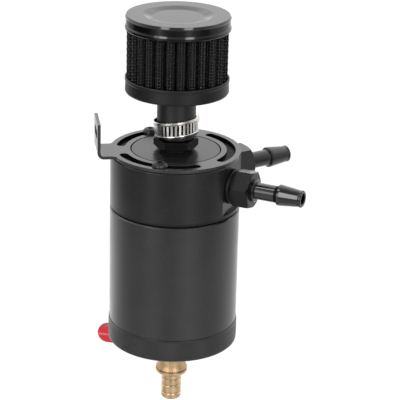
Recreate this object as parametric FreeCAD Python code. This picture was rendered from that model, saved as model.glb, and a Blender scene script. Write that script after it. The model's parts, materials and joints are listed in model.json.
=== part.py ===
import math
import os

import FreeCAD
import Part

os.makedirs("parts", exist_ok=True)

# Everything is modelled in millimetres around the can's own axis, with z = 0 under the bottom cap.
# The last lines move it so that the origin is the middle of the wall tab's hole.

# clearances
RUN = 0.05            # a shaft in its hole, a spigot in its bore
GAP = 0.3             # between curved faces of different pieces that don't touch
PRESS = 0.02          # a plate or shank seated in its recess

# canister and bottom cap
CAN_R = 32.0
CAN_WALL = 2.0
CAN_L = 59.3
CAP_STEP = 0.3        # the bottom cap stands out past the canister
CAP_H = 11.2
CAP_FLOOR = 4.0
SPIGOT_WALL = 4.0
CAP_SPIGOT_H = 7.0
EDGE = 0.5            # small chamfer on turned edges
JOINT_EDGE = 0.15     # the canister and its cap meet almost flush
RING_CORD_R = 1.0     # cord radius of the two hidden sealing rings
CAP_R = CAN_R + CAP_STEP
CAN_BORE_R = CAN_R - CAN_WALL
CAN_TOP_Z = CAP_H + CAN_L

# head
HEAD_GASKET_T = 0.8
HEAD_H = 27.3
HEAD_SPIGOT_H = 7.5
HEAD_SPIGOT_WALL = 5.95
HEAD_TOP_WALL = 5.6
LID_EDGE = 0.9        # broad chamfer under the bracket's ring
BAFFLE_RIM = 2.95
BAFFLE_T = 1.2
BAFFLE_HOLE_R = 2.0
HEAD_CAVITY_R = CAN_BORE_R - RUN - HEAD_SPIGOT_WALL
BAFFLE_R = CAN_BORE_R - RUN - BAFFLE_RIM
HEAD_BASE_Z = CAN_TOP_Z + HEAD_GASKET_T
HEAD_TOP_Z = HEAD_BASE_Z + HEAD_H

# bracket: slotted ring, arm and wall tab
PLATE_T = 1.5
RING_W = 9.8
DISC_GAP = 0.5        # between the ring and the disc that it turns on
SLOT_PLAY = 0.25      # each side of a screw in its slot
SLOT_COUNT = 3
SLOT_HALF_DEG = 48.5
ARM_W = 19.0
ARM_FILLET_R = 2.5
ARM_REACH = 7.0       # face of the wall tab past the can's side
TAB_H = 17.4
BEND_IN_R = 1.6
TAB_HOLE_RISE = 11.0
TAB_HOLE_L = 13.5
TAB_HOLE_W = 4.5
SCREW_DEG = (-113.3, 111.0)
TAB_X = -CAN_R - ARM_REACH
RING_IN_R = CAN_R - RING_W
SLOT_MID_R = (CAN_R + RING_IN_R) / 2
DISC_R = RING_IN_R - DISC_GAP
DISC_TOP_Z = HEAD_TOP_Z + PLATE_T
TAB_TOP_Z = HEAD_TOP_Z + TAB_H
TAB_HOLE_Z = HEAD_TOP_Z + TAB_HOLE_RISE

# button-head screw
SCREW_HEAD_R = 3.8
SCREW_HEAD_H = 2.2
SCREW_SHANK_R = 1.95
SCREW_SHANK_L = 8.0
SOCKET_AF = 2.5
SOCKET_DEPTH = 1.3
SLOT_W = 2 * (SCREW_SHANK_R + SLOT_PLAY)

# side ports and hose fittings, measured out along each port's own axis from the can's axis
PORT_RISE = 14.5      # above the head's foot
PORT_DEG = (-32.8, 25.2)
FLAT_DEPTH = 1.65     # milled into the head's side under each fitting
FLAT_MARGIN = 1.65
FLAT_LEDGE_RISE = 2.1
COLLAR_LIP = 0.1      # the washer stands out past the hexagon's flats
COLLAR_T = 1.9
HEX_AF = 17.0
HEX_L = 9.8
SHOULDER_R = 5.6
SHOULDER_L = 1.45
HOSE_STEM_R = 4.1
HOSE_STEM_L = 11.4
RIDGE_H = 1.0
RIDGE_L = 1.6
TIP_R = 4.2
TIP_L = 10.9
TIP_LIP = 0.15
HOSE_WALL = 1.35
PORT_SHANK_R = 4.9
PORT_SHANK_L = 4.75
HEX_TURN_DEG = (17.6, 35.0)
PORT_Z = HEAD_BASE_Z + PORT_RISE
FLAT_LEDGE_Z = HEAD_BASE_Z + FLAT_LEDGE_RISE
FLAT_S = CAN_R - FLAT_DEPTH
COLLAR_R = HEX_AF / 2 + COLLAR_LIP
FLAT_W = 2 * (COLLAR_R + FLAT_MARGIN)
RIDGE_R = HOSE_STEM_R + RIDGE_H
FITTING_BORE_R = HOSE_STEM_R - HOSE_WALL
FITTING_HEX_S = FLAT_S + COLLAR_T
SHOULDER_S = FITTING_HEX_S + HEX_L + SHOULDER_L
RIDGE_S = SHOULDER_S + HOSE_STEM_L
TIP_S = RIDGE_S + RIDGE_L + TIP_L
PORT_SHANK_START_S = FLAT_S - PORT_SHANK_L

# breather adapter: hexagon standing on the lid with a stub for the filter's neck
ADAPTER_SEAL_T = 1.2
ADAPTER_SEAL_R = 8.0
ADAPTER_AF = 19.0
ADAPTER_HEX_H = 4.7
ADAPTER_FOOT_IN = 0.2     # the foot is turned down inside the flats
ADAPTER_TOP_OUT = 0.6     # the top leaves this much outside the flats
ADAPTER_TURN_DEG = -6.5
ADAPTER_SHANK_R = 5.9
STUB_R = 6.25
STUB_L = 15.0
STUB_WALL = 1.75
STUB_BORE_R = STUB_R - STUB_WALL
ADAPTER_FOOT_R = ADAPTER_AF / 2 - ADAPTER_FOOT_IN
ADAPTER_TOP_R = ADAPTER_AF / 2 + ADAPTER_TOP_OUT
ADAPTER_Z = DISC_TOP_Z + ADAPTER_SEAL_T
ADAPTER_HEX_TOP_Z = ADAPTER_Z + ADAPTER_HEX_H
STUB_TOP_Z = ADAPTER_HEX_TOP_Z + STUB_L

# filter
NECK_R = 9.45
NECK_L = 22.9
CLAMP_SEAT_RISE = 0.2
CLAMP_SEAT_W = 3.8
BASE_WALL = 0.7
BASE_FLOOR_T = 3.8
BASE_WALL_H = 7.7
MEDIA_R = 24.5
MEDIA_H = 28.6
PLEATS = 27
PLEAT_DEPTH = 5.0
PLEATS_IN_GROUP = 3
PLEAT_TURN_DEG = -93.2
BACKING_T = 2.3       # behind the pleats' roots
CORE_T = 0.8
CORE_HOLE_R = 2.2
CAP_ABOVE_MEDIA = 5.8
SKIRT_OVERLAP = 1.0
CAP_SHEET = 0.9
CAP_RIM_W = 8.4
DISH_WALL_W = 4.8
DISH_DEPTH = 1.1
CLAMP_SEAT_R = NECK_R + CLAMP_SEAT_RISE
BASE_R = MEDIA_R + BASE_WALL
FILTER_CAP_R = MEDIA_R + CAP_SHEET
DISH_OUT_R = FILTER_CAP_R - CAP_RIM_W
DISH_IN_R = DISH_OUT_R - DISH_WALL_W
CORE_R = MEDIA_R - PLEAT_DEPTH - BACKING_T
NECK_BOTTOM_Z = ADAPTER_HEX_TOP_Z + GAP
BASE_Z = NECK_BOTTOM_Z + NECK_L
BASE_FLOOR_Z = BASE_Z + BASE_FLOOR_T
BASE_WALL_Z = BASE_Z + BASE_WALL_H
MEDIA_TOP_Z = BASE_FLOOR_Z + MEDIA_H
FILTER_TOP_Z = MEDIA_TOP_Z + CAP_ABOVE_MEDIA
SKIRT_Z = MEDIA_TOP_Z - SKIRT_OVERLAP

# hose clamp on the filter's neck
BAND_RISE = 5.25      # middle of the band above the neck's foot
BAND_SLACK = 0.6      # the band sits tilted and a little to one side
BAND_TAPER = 0.2      # narrower at the foot
BAND_SHIFT = -0.1
BAND_T = 0.6
BAND_W = 8.1
BAND_TILT_DEG = 8.5
BAND_TILT_DIR_DEG = -39.0
BAND_SLOT_H = 5.1
BAND_SLOT_W = 1.0
BAND_SLOT_SLANT_DEG = 6.5
BAND_SLOT_PITCH_DEG = 10.9
BAND_SLOTS_DEG = (-135.4, 20.0)
HOUSING_DEG = 65.0
HOUSING_W = 12.0
HOUSING_H = 6.8
HOUSING_D = 5.6
WORM_R = 2.2
WORM_HEAD_R = 3.4
WORM_HEAD_L = 3.2
BAND_IN_R = CLAMP_SEAT_R + BAND_SLACK
BAND_Z = NECK_BOTTOM_Z + BAND_RISE

# drain valve
BALL_Z = -10.2
BALL_R = 5.0
BALL_BORE_R = 2.8
SEAT_T = 1.8
SEAT_IN_R = 3.0
BODY_WALL = 1.0
BODY_HEX_AF = 14.0
BODY_HEX_H = 4.6
FLARE_START = 2.4     # below the ball's middle
FLARE_H = 5.3
FLARE_NECK_OUT = 0.6
FLARE_OUT = 1.4
BODY_RIM_H = 0.4
VALVE_SHANK_R = 4.8
TAIL_COLLAR_OUT = 1.5     # past the valve body's barrel
TAIL_COLLAR_H = 1.6
TAIL_GROOVE = 0.3
TAIL_WALL = 1.8
TAIL_BORE_R = 3.2
TAIL_RIDGE_H = 0.1
TAIL_L = 16.8
TAIL_GROOVES = (5.7, 9.1, 13.5)
BOSS_R = 4.6
BOSS_L = 3.6
SEAT_REACH = BALL_R + GAP
CHAMBER_R = BALL_R + 2 * GAP
BODY_R = CHAMBER_R + BODY_WALL
BOSS_END = BODY_R + BOSS_L
FLARE_R = BODY_R + FLARE_OUT
FLARE_TOP_Z = BALL_Z - FLARE_START
FLARE_Z = FLARE_TOP_Z - FLARE_H
BODY_END_Z = FLARE_Z - BODY_RIM_H
TAIL_COLLAR_R = BODY_R + TAIL_COLLAR_OUT
TAIL_R = TAIL_BORE_R + TAIL_WALL
TAIL_RIDGE_R = TAIL_R + TAIL_RIDGE_H
TAIL_END_Z = BODY_END_Z - TAIL_L
STEM_DEG = 69.5
STEM_R = 2.0
STEM_SLOT_T = 1.4
STEM_TIP_L = 0.8
GLAND_AF = 8.0
GLAND_H = 2.2
LEVER_T = 1.5
LEVER_W = 8.0
LEVER_REACH = 9.3     # past the bottom cap's side
GRIP_START = 15.0
GRIP_WALL = 1.25
GRIP_FACE = 1.05
LEVER_NUT_AF = 7.0
LEVER_NUT_H = 2.6
LEVER_L = CAP_R + LEVER_REACH
GRIP_W = LEVER_W + 2 * GRIP_WALL
GRIP_T = LEVER_T + 2 * GRIP_FACE
LEVER_START = BOSS_END + GLAND_H
LEVER_NUT_START = LEVER_START + LEVER_T
STEM_END = LEVER_NUT_START + LEVER_NUT_H + STEM_TIP_L


def v(x, y, z):
    return FreeCAD.Vector(x, y, z)


UP = v(0, 0, 1)
ORIGIN = v(0, 0, 0)


def lathe(profile):
    """Solid turned about z from (radius, z) corners."""
    points = [v(r, 0, z) for r, z in profile]
    wire = Part.makePolygon(points + points[:1])
    return Part.Face(wire).revolve(ORIGIN, UP, 360)


def tube(outer, inner, z0, z1):
    """Plain ring or tube about z."""
    return lathe([(inner, z0), (outer, z0), (outer, z1), (inner, z1)])


def rod(radius, z0, z1):
    return Part.makeCylinder(radius, z1 - z0, v(0, 0, z0))


def box(x0, x1, y0, y1, z0, z1):
    return Part.makeBox(x1 - x0, y1 - y0, z1 - z0, v(x0, y0, z0))


def hexagon(flats, z0, z1, turn_deg=0.0):
    """Upright hexagonal bar with a corner at turn_deg."""
    corner = flats / math.sqrt(3)
    points = []
    for i in range(6):
        a = math.radians(60 * i + turn_deg)
        points.append(v(corner * math.cos(a), corner * math.sin(a), z0))
    wire = Part.makePolygon(points + points[:1])
    return Part.Face(wire).extrude(v(0, 0, z1 - z0))


def chamfered_hexagon(flats, z0, z1, turn_deg, foot_r, top_r, foot_slope=1.1):
    """Hexagonal bar whose corners are turned down to a circle at each end."""
    corner = flats / math.sqrt(3)
    foot_h = (corner - foot_r) * foot_slope
    top_h = (corner - top_r) * 0.6
    envelope = lathe([(0, z0), (foot_r, z0), (corner, z0 + foot_h), (corner, z1 - top_h),
                      (top_r, z1), (0, z1)])
    return hexagon(flats, z0, z1, turn_deg).common(envelope)


def turned(shape, deg, axis=UP, centre=ORIGIN):
    copy = shape.copy()
    copy.rotate(centre, axis, deg)
    return copy


def moved(shape, x, y, z):
    copy = shape.copy()
    copy.translate(v(x, y, z))
    return copy


def torus(mid_r, cord_r, z):
    return Part.makeTorus(mid_r, cord_r, v(0, 0, z))


def polar(radius, deg, z=0.0):
    a = math.radians(deg)
    return v(radius * math.cos(a), radius * math.sin(a), z)


def arc_slot(mid_r, width, half_deg, z0, z1):
    """Curved slot with round ends, centred on +x."""
    end_deg = half_deg - math.degrees(width / 2 / mid_r)
    sector = tube(mid_r + width / 2, mid_r - width / 2, z0, z1)
    wedge_r = mid_r + width
    a = math.radians(end_deg)
    rim = [v(0, 0, z0), v(wedge_r * math.cos(a), -wedge_r * math.sin(a), z0),
           v(wedge_r * 1.2, -wedge_r * 0.6, z0), v(wedge_r * 1.2, wedge_r * 0.6, z0),
           v(wedge_r * math.cos(a), wedge_r * math.sin(a), z0)]
    wedge = Part.Face(Part.makePolygon(rim + rim[:1])).extrude(v(0, 0, z1 - z0))
    slot = sector.common(wedge)
    for side in (-1, 1):
        centre = polar(mid_r, side * end_deg, z0)
        slot = slot.fuse(Part.makeCylinder(width / 2, z1 - z0, centre))
    return slot


def make_canister():
    return lathe([(CAN_BORE_R, CAP_H), (CAN_R - JOINT_EDGE, CAP_H), (CAN_R, CAP_H + JOINT_EDGE),
                  (CAN_R, CAN_TOP_Z - EDGE), (CAN_R - EDGE, CAN_TOP_Z), (CAN_BORE_R, CAN_TOP_Z)])


def ring_groove(bore_r, z):
    floor_r = bore_r - 2 * RING_CORD_R - PRESS
    return tube(bore_r + 1, floor_r, z - RING_CORD_R - PRESS, z + RING_CORD_R + PRESS)


def sealing_ring(bore_r, z):
    """Round cord in its groove, just short of the groove's floor."""
    return torus(bore_r - RING_CORD_R, RING_CORD_R - PRESS, z)


def make_bottom_cap():
    spigot_r = CAN_BORE_R - RUN
    top = CAP_H + CAP_SPIGOT_H
    cavity_r = spigot_r - SPIGOT_WALL
    body = lathe([(0, 0), (CAP_R - EDGE, 0), (CAP_R, EDGE), (CAP_R, CAP_H - JOINT_EDGE),
                  (CAP_R - JOINT_EDGE, CAP_H), (spigot_r, CAP_H), (spigot_r, top - EDGE),
                  (spigot_r - EDGE, top), (cavity_r, top), (cavity_r, CAP_FLOOR), (0, CAP_FLOOR)])
    body = body.cut(rod(VALVE_SHANK_R + PRESS, -1, CAP_FLOOR + 1))
    return body.cut(ring_groove(spigot_r, CAP_H + CAP_SPIGOT_H / 2))


def make_head():
    spigot_r = CAN_BORE_R - RUN
    foot = HEAD_BASE_Z - HEAD_SPIGOT_H
    ceiling = HEAD_TOP_Z - HEAD_TOP_WALL
    recess_r = BAFFLE_R + PRESS
    recess_z = foot + BAFFLE_T
    body = lathe([(0, ceiling), (HEAD_CAVITY_R, ceiling), (HEAD_CAVITY_R, recess_z),
                  (recess_r, recess_z), (recess_r, foot), (spigot_r - EDGE, foot),
                  (spigot_r, foot + EDGE), (spigot_r, HEAD_BASE_Z), (CAN_R - EDGE, HEAD_BASE_Z),
                  (CAN_R, HEAD_BASE_Z + EDGE), (CAN_R, HEAD_TOP_Z - LID_EDGE),
                  (CAN_R - LID_EDGE, HEAD_TOP_Z), (DISC_R, HEAD_TOP_Z), (DISC_R, DISC_TOP_Z - EDGE / 2),
                  (DISC_R - EDGE / 2, DISC_TOP_Z), (0, DISC_TOP_Z)])
    body = body.cut(ring_groove(spigot_r, foot + HEAD_SPIGOT_H / 2))
    flat = box(FLAT_S, CAN_R + 5, -FLAT_W / 2, FLAT_W / 2, FLAT_LEDGE_Z, HEAD_TOP_Z + 0.5)
    port_start = HEAD_CAVITY_R - PORT_SHANK_R
    port = turned(rod(PORT_SHANK_R + PRESS, port_start, CAN_R + 5), 90, v(0, 1, 0))
    port = moved(port, 0, 0, PORT_Z)
    for deg in PORT_DEG:
        body = body.cut(turned(flat, deg)).cut(turned(port, deg))
    for deg in SCREW_DEG:
        hole_z = DISC_TOP_Z - SCREW_SHANK_L - EDGE
        where = polar(SLOT_MID_R, deg, hole_z)
        body = body.cut(Part.makeCylinder(SCREW_SHANK_R + PRESS, SCREW_SHANK_L, where))
    return body.cut(rod(ADAPTER_SHANK_R + PRESS, ceiling - 1, DISC_TOP_Z + 1))


def make_head_gasket():
    return tube(CAN_R - 0.9, CAN_BORE_R - RUN + GAP, CAN_TOP_Z, HEAD_BASE_Z)


def make_baffle_plate():
    foot = HEAD_BASE_Z - HEAD_SPIGOT_H
    plate = rod(BAFFLE_R, foot, foot + BAFFLE_T)
    cutter = rod(BAFFLE_HOLE_R, foot - 1, foot + BAFFLE_T + 1)
    for ring_r, count in ((BAFFLE_R / 3, 6), (BAFFLE_R * 2 / 3, 12)):
        for i in range(count):
            where = polar(ring_r, 360 / count * i)
            plate = plate.cut(moved(cutter, where.x, where.y, 0))
    return plate.cut(cutter)


def make_bracket():
    z0 = HEAD_TOP_Z
    z1 = DISC_TOP_Z
    plate = tube(CAN_R, RING_IN_R, z0, z1)
    bend_out = BEND_IN_R + PLATE_T
    arm = box(TAB_X + bend_out, -RING_IN_R - 2, -ARM_W / 2, ARM_W / 2, z0, z1)
    tab = box(TAB_X, TAB_X + PLATE_T, -ARM_W / 2, ARM_W / 2, z0 + bend_out, TAB_TOP_Z)
    bend = Part.makeCylinder(bend_out, ARM_W, v(0, -ARM_W / 2, 0), v(0, 1, 0))
    bend = bend.cut(Part.makeCylinder(BEND_IN_R, ARM_W + 2, v(0, -ARM_W / 2 - 1, 0), v(0, 1, 0)))
    bend = bend.common(box(-bend_out, 0, -ARM_W, ARM_W, -bend_out, 0))
    bend = moved(bend, TAB_X + bend_out, 0, z0 + bend_out)
    slot = arc_slot(SLOT_MID_R, SLOT_W, SLOT_HALF_DEG, z0 - 1, z1 + 1)
    body = plate.fuse([arm, bend, tab]).removeSplitter()
    root_x = math.sqrt(CAN_R ** 2 - (ARM_W / 2) ** 2)
    corners = [e for e in body.Edges if e.BoundBox.ZLength > PLATE_T - 0.01
               and abs(e.BoundBox.XMin + root_x) < 0.01 and abs(e.BoundBox.XMax + root_x) < 0.01]
    body = body.makeFillet(ARM_FILLET_R, corners)
    for i in range(SLOT_COUNT):
        body = body.cut(turned(slot, 360 / SLOT_COUNT * i))
    return body.cut(tab_hole()).removeSplitter()


def tab_hole():
    """Long hole across the wall tab, round at both ends."""
    half = (TAB_HOLE_L - TAB_HOLE_W) / 2
    x0 = TAB_X - 1
    x1 = TAB_X + PLATE_T + 1
    hole = box(x0, x1, -half, half, TAB_HOLE_Z - TAB_HOLE_W / 2, TAB_HOLE_Z + TAB_HOLE_W / 2)
    for y in (-half, half):
        hole = hole.fuse(Part.makeCylinder(TAB_HOLE_W / 2, x1 - x0, v(x0, y, TAB_HOLE_Z), v(1, 0, 0)))
    return hole


def make_bracket_screw(deg):
    z0 = DISC_TOP_Z
    top_r = SCREW_HEAD_R * 0.55
    head = lathe([(0, z0), (SCREW_HEAD_R, z0), (SCREW_HEAD_R, z0 + 0.5),
                  (SCREW_HEAD_R * 0.88, z0 + SCREW_HEAD_H * 0.62),
                  (SCREW_HEAD_R * 0.74, z0 + SCREW_HEAD_H * 0.87), (top_r, z0 + SCREW_HEAD_H),
                  (0, z0 + SCREW_HEAD_H)])
    head = head.cut(hexagon(SOCKET_AF, z0 + SCREW_HEAD_H - SOCKET_DEPTH, z0 + SCREW_HEAD_H + 1))
    shank = rod(SCREW_SHANK_R, z0 - SCREW_SHANK_L, z0)
    where = polar(SLOT_MID_R, deg)
    return moved(head.fuse(shank).removeSplitter(), where.x, where.y, 0)


def port_axis(shape, deg):
    """Lay a piece drawn up the z axis out along a side port."""
    lying = turned(shape, 90, v(0, 1, 0))
    return turned(moved(lying, 0, 0, PORT_Z), deg)


def make_port_washer(deg):
    s0 = FLAT_S
    s1 = FITTING_HEX_S
    inner = PORT_SHANK_R + PRESS
    ring = lathe([(inner, s0), (COLLAR_R - 0.4, s0), (COLLAR_R, s0 + 0.4), (COLLAR_R, s1 - 0.6),
                  (COLLAR_R - 0.6, s1), (inner, s1)])
    return port_axis(ring, deg)


def make_fitting(deg, hex_turn):
    """Hexagon, shoulder, hose stem and tapered hose end in one turned piece."""
    turned_r = HEX_AF / 2 - 0.1
    nut = chamfered_hexagon(HEX_AF, FITTING_HEX_S, FITTING_HEX_S + HEX_L, hex_turn, turned_r, turned_r)
    spindle = lathe([(0, PORT_SHANK_START_S), (PORT_SHANK_R, PORT_SHANK_START_S),
                     (PORT_SHANK_R, FITTING_HEX_S + 1), (SHOULDER_R, FITTING_HEX_S + 1),
                     (SHOULDER_R, SHOULDER_S - 0.4), (SHOULDER_R - 0.4, SHOULDER_S),
                     (HOSE_STEM_R, SHOULDER_S), (HOSE_STEM_R, RIDGE_S), (RIDGE_R, RIDGE_S + 0.3),
                     (RIDGE_R, RIDGE_S + RIDGE_L), (TIP_R - TIP_LIP, TIP_S - 1.6), (TIP_R, TIP_S - 1.0),
                     (TIP_R, TIP_S - 0.4), (TIP_R - 0.4, TIP_S), (0, TIP_S)])
    bore = rod(FITTING_BORE_R, PORT_SHANK_START_S - 1, TIP_S + 1)
    mouth = lathe([(0, TIP_S - 0.3), (FITTING_BORE_R, TIP_S - 0.3), (FITTING_BORE_R + 0.3, TIP_S),
                   (FITTING_BORE_R + 0.3, TIP_S + 1), (0, TIP_S + 1)])
    return port_axis(nut.fuse(spindle).removeSplitter().cut(bore).cut(mouth), deg)


def make_filter_adapter():
    nut = chamfered_hexagon(ADAPTER_AF, ADAPTER_Z, ADAPTER_HEX_TOP_Z, ADAPTER_TURN_DEG, ADAPTER_FOOT_R,
                            ADAPTER_TOP_R, foot_slope=0.7)
    foot = HEAD_TOP_Z - HEAD_TOP_WALL
    spindle = lathe([(0, foot), (ADAPTER_SHANK_R, foot), (ADAPTER_SHANK_R, ADAPTER_Z + 1),
                     (STUB_R, ADAPTER_Z + 1), (STUB_R, STUB_TOP_Z - 1), (STUB_R - 0.5, STUB_TOP_Z),
                     (0, STUB_TOP_Z)])
    return nut.fuse(spindle).removeSplitter().cut(rod(STUB_BORE_R, foot - 1, STUB_TOP_Z + 1))


def make_adapter_seal():
    inner = ADAPTER_SHANK_R + PRESS
    middle = DISC_TOP_Z + ADAPTER_SEAL_T / 2
    return lathe([(inner, DISC_TOP_Z), (ADAPTER_SEAL_R - 0.4, DISC_TOP_Z), (ADAPTER_SEAL_R, middle),
                  (ADAPTER_SEAL_R - 0.4, ADAPTER_Z), (inner, ADAPTER_Z)])


def make_filter_base():
    bore_r = STUB_R + PRESS
    seat_low = BAND_Z - CLAMP_SEAT_W / 2
    seat_high = BAND_Z + CLAMP_SEAT_W / 2
    rise = CLAMP_SEAT_RISE
    inner_r = MEDIA_R + PRESS
    body = lathe([(bore_r, NECK_BOTTOM_Z), (NECK_R - 0.7, NECK_BOTTOM_Z), (NECK_R, NECK_BOTTOM_Z + 0.7),
                  (NECK_R, seat_low - rise), (CLAMP_SEAT_R, seat_low), (CLAMP_SEAT_R, seat_high),
                  (NECK_R, seat_high + rise), (NECK_R, BASE_Z - 1.2), (NECK_R + 1.2, BASE_Z),
                  (BASE_R - 1.4, BASE_Z), (BASE_R - 0.5, BASE_Z + 0.3), (BASE_R - 0.1, BASE_Z + 1.0),
                  (BASE_R - 0.3, BASE_WALL_Z - 1.8), (BASE_R, BASE_WALL_Z - 1.3),
                  (BASE_R, BASE_WALL_Z - 0.3), (BASE_R - 0.25, BASE_WALL_Z), (inner_r, BASE_WALL_Z),
                  (inner_r, BASE_FLOOR_Z), (bore_r, BASE_FLOOR_Z)])
    return body


def pleat_outline(crest_r, root_r, z):
    """Closed wavy outline: broad rounded crests and narrow roots."""
    points = []
    pitch = 360 / PLEATS
    shape = ((0.0, 0.0), (0.14, 0.06), (0.24, 0.25), (0.36, 1.0), (0.64, 1.0), (0.76, 0.25), (0.86, 0.06))
    for i in range(PLEATS):
        for along, depth in shape:
            radius = crest_r - (crest_r - root_r) * depth
            deg = PLEAT_TURN_DEG + pitch * (i + along)
            points.append(polar(radius, deg, z))
    return Part.makePolygon(points + points[:1])


def make_filter_media():
    """Pleats in groups, divided at the roots, so that each group is a simple solid."""
    outer = Part.Face(pleat_outline(MEDIA_R, MEDIA_R - PLEAT_DEPTH, BASE_FLOOR_Z))
    body = outer.extrude(v(0, 0, MEDIA_H))
    body = body.cut(rod(CORE_R + PRESS, BASE_FLOOR_Z - 1, MEDIA_TOP_Z + 1))
    pitch = 360 / PLEATS
    foot = v(0, 0, BASE_FLOOR_Z - 1)
    sector = Part.makeCylinder(MEDIA_R + 1, MEDIA_H + 2, foot, UP, pitch * PLEATS_IN_GROUP)
    groups = []
    for first in range(0, PLEATS, PLEATS_IN_GROUP):
        groups.append(body.common(turned(sector, PLEAT_TURN_DEG + pitch * (first + 0.5))))
    return Part.makeCompound(groups)


def make_filter_core():
    """Drilled tube inside the pleats."""
    core = tube(CORE_R, CORE_R - CORE_T, BASE_FLOOR_Z, MEDIA_TOP_Z)
    rows = 3
    drill = Part.makeCylinder(CORE_HOLE_R, CORE_R + 5, ORIGIN, v(1, 0, 0))
    for row in range(rows):
        z = BASE_FLOOR_Z + MEDIA_H * (row + 1) / (rows + 1)
        for i in range(8):
            core = core.cut(turned(moved(drill, 0, 0, z), 45 * i + 22.5 * row))
    return core


def make_filter_cap():
    """Dished lid whose skirt stands in a little between a rounded brow and a foot bead."""
    top = FILTER_TOP_Z
    dish_z = top - DISH_DEPTH
    r = FILTER_CAP_R
    skirt_r = r - 0.35
    media_r = MEDIA_R + PRESS
    body = lathe([(0, dish_z), (DISH_IN_R, dish_z), (DISH_IN_R + 0.6, dish_z + 0.1),
                  (DISH_OUT_R - 0.9, top - 0.12), (DISH_OUT_R, top), (r - 0.7, top), (r - 0.1, top - 1.0),
                  (skirt_r, top - 1.5), (skirt_r, SKIRT_Z + 2.3), (r, SKIRT_Z + 1.4), (r, SKIRT_Z + 0.3),
                  (r - 0.25, SKIRT_Z), (media_r, SKIRT_Z), (media_r, MEDIA_TOP_Z), (0, MEDIA_TOP_Z)])
    roof_z = dish_z - 2 * CAP_SHEET
    hollow = lathe([(0, MEDIA_TOP_Z - 1), (CORE_R - CORE_T, MEDIA_TOP_Z - 1), (CORE_R - CORE_T, roof_z),
                    (0, roof_z)])
    return body.cut(hollow)


def clamp_frame(shape):
    """Tilt a clamp piece drawn level about z and lift it onto the neck."""
    tilt_axis = polar(1, BAND_TILT_DIR_DEG - 90)
    return moved(turned(shape, BAND_TILT_DEG, tilt_axis), BAND_SHIFT, 0, BAND_Z)


def make_clamp_band():
    """Beaded strip, a little conical, with slanted slots for the worm."""
    outer = BAND_IN_R + BAND_T
    foot_in = BAND_IN_R - BAND_TAPER
    foot = outer - BAND_TAPER
    half = BAND_W / 2
    bead = 0.2
    band = lathe([(foot_in, -half), (foot + bead, -half), (foot + bead, -half + 0.9), (foot, -half + 1.4),
                  (outer, half - 1.4), (outer + bead, half - 0.9), (outer + bead, half), (BAND_IN_R, half)])
    first, last = BAND_SLOTS_DEG
    count = int((last - first) / BAND_SLOT_PITCH_DEG) + 1
    cutter = box(foot_in - 1, outer + 2, -BAND_SLOT_W / 2, BAND_SLOT_W / 2, -BAND_SLOT_H / 2,
                 BAND_SLOT_H / 2)
    cutter = turned(cutter, -BAND_SLOT_SLANT_DEG, v(1, 0, 0))
    cutters = [turned(cutter, first + BAND_SLOT_PITCH_DEG * i) for i in range(count)]
    return clamp_frame(band.cut(Part.makeCompound(cutters)))


def worm_axis(shape):
    """Lay a piece drawn up z across the housing, tangent to the band."""
    lying = turned(shape, -90, v(1, 0, 0))
    centre = BAND_IN_R + BAND_T + GAP + HOUSING_D / 2
    return clamp_frame(turned(moved(lying, centre, 0, 0), HOUSING_DEG))


def make_clamp_housing():
    inner = BAND_IN_R + BAND_T + 0.25
    block = box(inner - 0.8, inner + HOUSING_D, -HOUSING_W / 2, HOUSING_W / 2, -HOUSING_H / 2, HOUSING_H / 2)
    block = block.cut(rod(inner + 0.01, -HOUSING_H, HOUSING_H))
    crown_x = inner + HOUSING_D - HOUSING_H / 2
    crown = Part.makeCylinder(HOUSING_H / 2, HOUSING_W + 2, v(crown_x, -HOUSING_W / 2 - 1, 0), v(0, 1, 0))
    lower = box(inner - 1, crown_x + 0.01, -HOUSING_W, HOUSING_W, -HOUSING_H, HOUSING_H)
    block = block.common(crown.fuse(lower))
    block = clamp_frame(turned(block, HOUSING_DEG))
    return block.cut(worm_axis(rod(WORM_R + RUN, -HOUSING_W, HOUSING_W)))


def make_clamp_screw():
    half = HOUSING_W / 2
    shank = rod(WORM_R, -half - 1.0, half + GAP)
    head_z = half + GAP
    head = chamfered_hexagon(WORM_HEAD_R * math.sqrt(3), head_z, head_z + WORM_HEAD_L, 0, WORM_HEAD_R - 0.5,
                             WORM_HEAD_R - 0.5)
    slot = box(-WORM_HEAD_R, WORM_HEAD_R, -0.5, 0.5, head_z + WORM_HEAD_L - 1.2, head_z + WORM_HEAD_L + 1)
    return worm_axis(shank.fuse(head).removeSplitter().cut(slot))


def stem_axis(shape):
    """Lay a piece drawn up z out along the valve's stem."""
    lying = turned(shape, 90, v(0, 1, 0))
    return turned(moved(lying, 0, 0, BALL_Z), STEM_DEG)


def make_valve_body():
    top_seat = BALL_Z + SEAT_REACH
    body = lathe([(0, CAP_FLOOR), (VALVE_SHANK_R, CAP_FLOOR), (VALVE_SHANK_R, 0), (BODY_R, 0),
                  (BODY_R, FLARE_TOP_Z), (BODY_R + FLARE_NECK_OUT, FLARE_Z + FLARE_H / 3),
                  (FLARE_R, FLARE_Z), (FLARE_R - 0.3, BODY_END_Z),
                  (0, BODY_END_Z)])
    nut = chamfered_hexagon(BODY_HEX_AF, -BODY_HEX_H, 0, 0, BODY_HEX_AF / 2, BODY_HEX_AF / 2)
    boss = stem_axis(rod(BOSS_R, 0, BOSS_END))
    body = body.fuse([nut, boss]).removeSplitter()
    chamber = rod(CHAMBER_R, BODY_END_Z - 1, top_seat)
    inlet = rod(SEAT_IN_R, 0, CAP_FLOOR + 1).fuse(rod(SEAT_IN_R, top_seat - 1, 1))
    stem_hole = stem_axis(rod(STEM_R + RUN, 0, BOSS_END + 1))
    return body.cut(chamber).cut(inlet).cut(stem_hole)


def make_valve_seat(side):
    far = BALL_Z + side * SEAT_REACH
    near = far - side * SEAT_T
    ring = tube(CHAMBER_R - PRESS, SEAT_IN_R, min(far, near), max(far, near))
    return ring.cut(Part.makeSphere(BALL_R + RUN, v(0, 0, BALL_Z)))


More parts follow.
